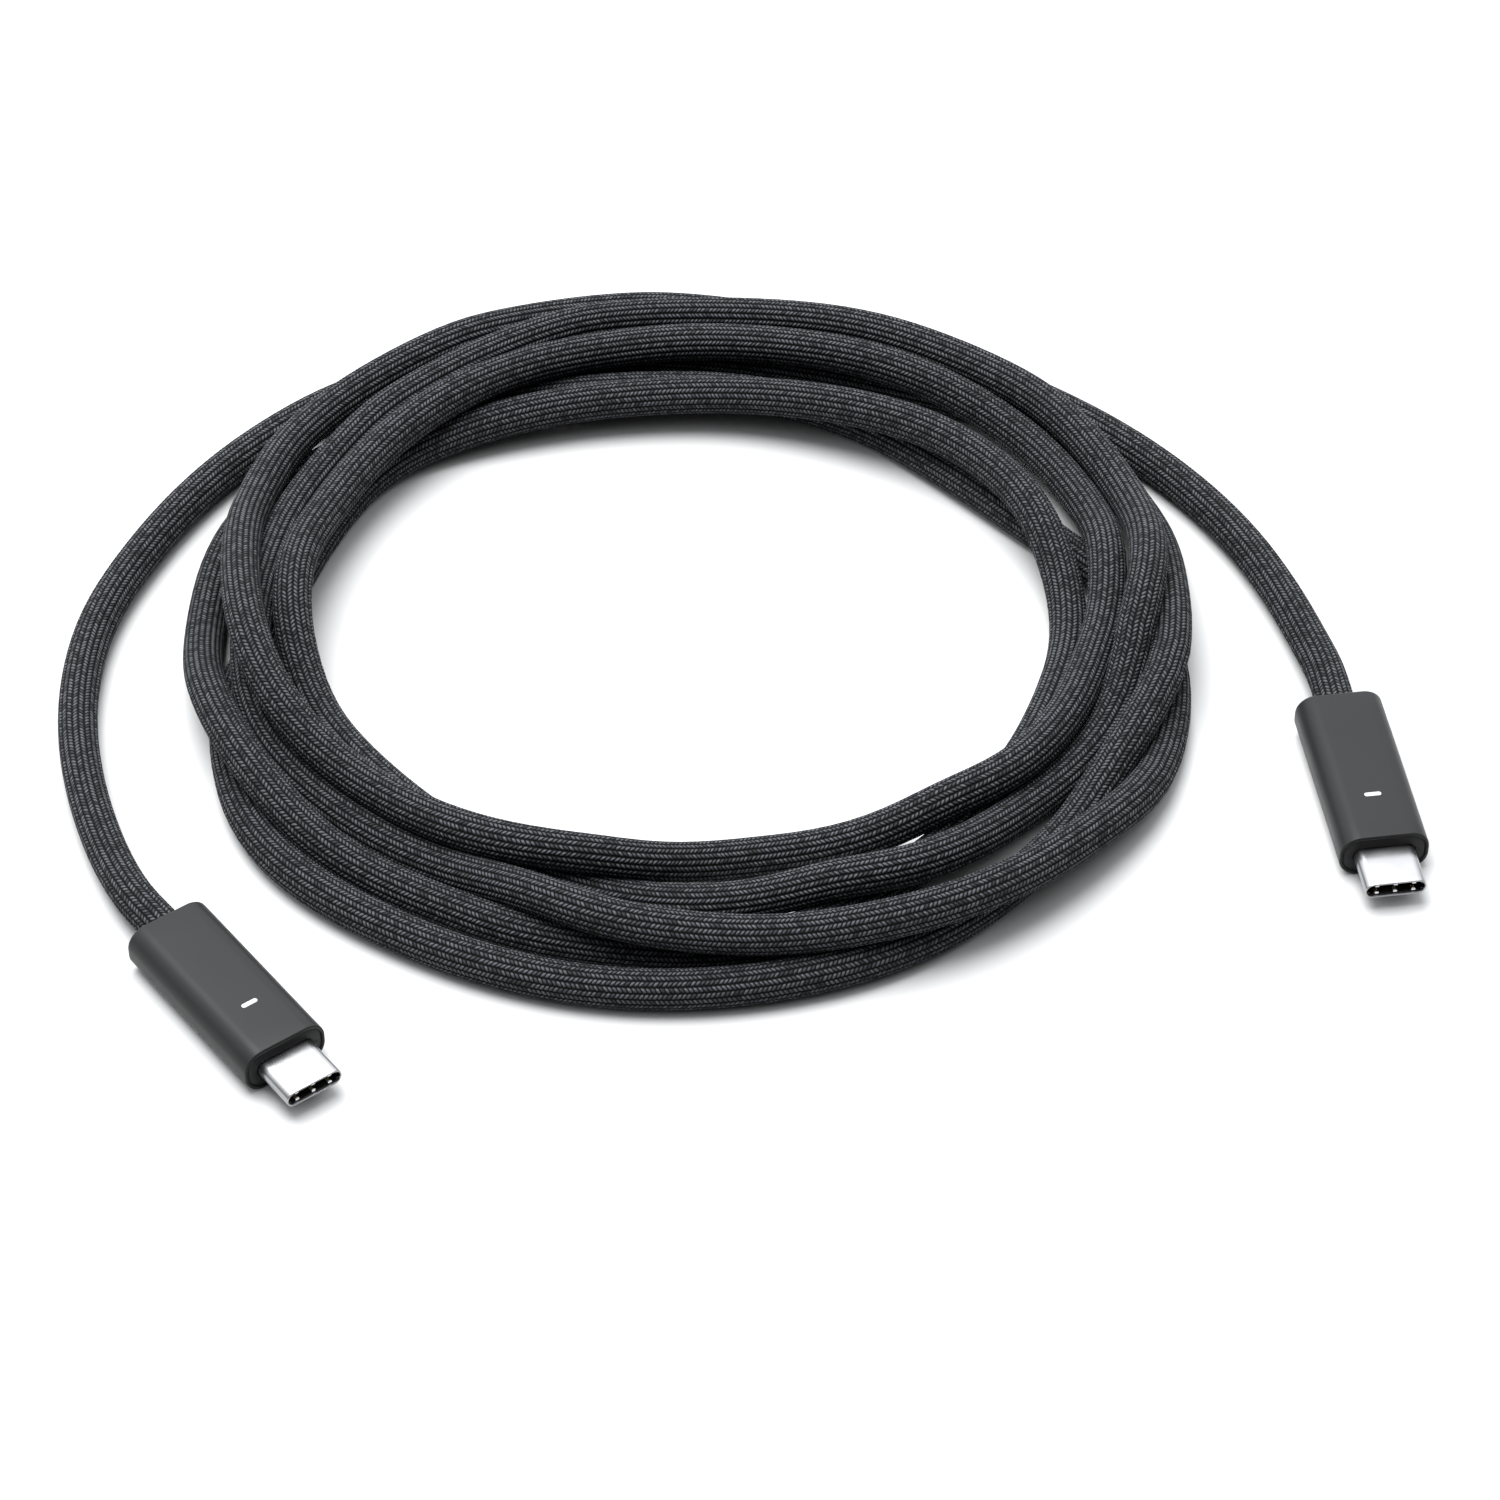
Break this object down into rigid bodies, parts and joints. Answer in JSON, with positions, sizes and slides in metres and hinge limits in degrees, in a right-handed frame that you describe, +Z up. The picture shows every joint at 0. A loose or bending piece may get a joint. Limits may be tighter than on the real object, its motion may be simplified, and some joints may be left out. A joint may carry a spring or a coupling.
{
  "type": "charging cable",
  "caption": "Braided charging cable wound in a loose flat coil, with a slim flat-sided metal plug and a bright oval connector shell on each end",
  "frame": {"origin": "midway between the two plugs, on the surface that the cable lies on", "axes": "+Z up, the coil behind the plugs along +Y, the first plug at -X and the second at +X"},
  "size_m": [0.1829, 0.1613, 0.0152],
  "materials": {
    "cord": "black braided polyester with blue-grey flecks, in fine lengthwise rows",
    "housing": "dark grey satin anodised",
    "nose": "dark grey moulded plastic",
    "steel": "bright nickel-plated steel",
    "insulator": "black glass-filled plastic",
    "gold": "gold-plated copper alloy",
    "spring_steel": "bright stainless spring steel",
    "board": "green solder mask",
    "chip": "black moulded package",
    "ceramic": "fired ceramic with tinned ends",
    "tin": "tinned sheet steel",
    "jacket": "black elastomer",
    "copper": "enamelled copper conductors",
    "mark": "white printed ink"
  },
  "bodies": {
    "cord": {"coil": "cord", "tail_a": "cord", "tail_b": "cord"},
    "plug_a": {"housing_a": "housing", "nose_a": "nose", "shell_a": "steel", "insert_a": "insulator", "ground_springs_a": "spring_steel", "terminals_a": "gold", "board_a": "board", "chip_a": "chip", "passives_a": "ceramic", "shield_top_a": "tin", "shield_bottom_a": "tin", "ferrule_a": "tin", "cord_end_a": "jacket", "wires_a": "copper", "mark_a": "mark"},
    "contacts_top_a": {"contacts_top_a": "gold"},
    "contacts_bottom_a": {"contacts_bottom_a": "gold"},
    "latch_left_a": {"latch_left_a": "spring_steel"},
    "latch_right_a": {"latch_right_a": "spring_steel"},
    "plug_b": {"housing_b": "housing", "nose_b": "nose", "shell_b": "steel", "insert_b": "insulator", "ground_springs_b": "spring_steel", "terminals_b": "gold", "board_b": "board", "chip_b": "chip", "passives_b": "ceramic", "shield_top_b": "tin", "shield_bottom_b": "tin", "ferrule_b": "tin", "cord_end_b": "jacket", "wires_b": "copper", "mark_b": "mark"},
    "contacts_top_b": {"contacts_top_b": "gold"},
    "contacts_bottom_b": {"contacts_bottom_b": "gold"},
    "latch_left_b": {"latch_left_b": "spring_steel"},
    "latch_right_b": {"latch_right_b": "spring_steel"}
  },
  "joints": [
    {"name": "plug_bend_a", "type": "hinge", "parent": "cord", "child": "plug_a", "pos_m": [-0.086, 0.002, 0.0033], "axis": [0, 0, 1], "range_deg": [-20, 20], "stiffness_Nm_per_rad": 0.02, "deforming": ["tail_a"]},
    {"name": "contact_top_flex_a", "type": "hinge", "parent": "plug_a", "child": "contacts_top_a", "pos_m": [-0.06279, -0.02884, 0.00381], "axis": [-0.7986, -0.6018, 0], "range_deg": [0, 2], "stiffness_Nm_per_rad": 0.008},
    {"name": "contact_bottom_flex_a", "type": "hinge", "parent": "plug_a", "child": "contacts_bottom_a", "pos_m": [-0.06279, -0.02884, 0.00279], "axis": [0.7986, 0.6018, 0], "range_deg": [0, 2], "stiffness_Nm_per_rad": 0.008},
    {"name": "latch_left_flex_a", "type": "hinge", "parent": "plug_a", "child": "latch_left_a", "pos_m": [-0.05991, -0.02667, 0.0033], "axis": [0, 0, 1], "range_deg": [0, 2], "stiffness_Nm_per_rad": 0.0005},
    {"name": "latch_right_flex_a", "type": "hinge", "parent": "plug_a", "child": "latch_right_a", "pos_m": [-0.06566, -0.03101, 0.0033], "axis": [0, 0, -1], "range_deg": [0, 2], "stiffness_Nm_per_rad": 0.0005},
    {"name": "plug_bend_b", "type": "hinge", "parent": "cord", "child": "plug_b", "pos_m": [0.0734, 0.0469, 0.0033], "axis": [0, 0, 1], "range_deg": [-20, 20], "stiffness_Nm_per_rad": 0.02, "deforming": ["tail_b"]},
    {"name": "contact_top_flex_b", "type": "hinge", "parent": "plug_b", "child": "contacts_top_b", "pos_m": [0.07898, 0.00768, 0.00381], "axis": [-0.9903, -0.1392, 0], "range_deg": [0, 2], "stiffness_Nm_per_rad": 0.008},
    {"name": "contact_bottom_flex_b", "type": "hinge", "parent": "plug_b", "child": "contacts_bottom_b", "pos_m": [0.07898, 0.00768, 0.00279], "axis": [0.9903, 0.1392, 0], "range_deg": [0, 2], "stiffness_Nm_per_rad": 0.008},
    {"name": "latch_left_flex_b", "type": "hinge", "parent": "plug_b", "child": "latch_left_b", "pos_m": [0.08255, 0.00818, 0.0033], "axis": [0, 0, 1], "range_deg": [0, 2], "stiffness_Nm_per_rad": 0.0005},
    {"name": "latch_right_flex_b", "type": "hinge", "parent": "plug_b", "child": "latch_right_b", "pos_m": [0.07542, 0.00718, 0.0033], "axis": [0, 0, -1], "range_deg": [0, 2], "stiffness_Nm_per_rad": 0.0005}
  ],
  "couplings": [
    {"joint": "contact_bottom_flex_a", "follows": "contact_top_flex_a", "ratio": 1},
    {"joint": "latch_right_flex_a", "follows": "latch_left_flex_a", "ratio": 1},
    {"joint": "contact_bottom_flex_b", "follows": "contact_top_flex_b", "ratio": 1},
    {"joint": "latch_right_flex_b", "follows": "latch_left_flex_b", "ratio": 1}
  ]
}
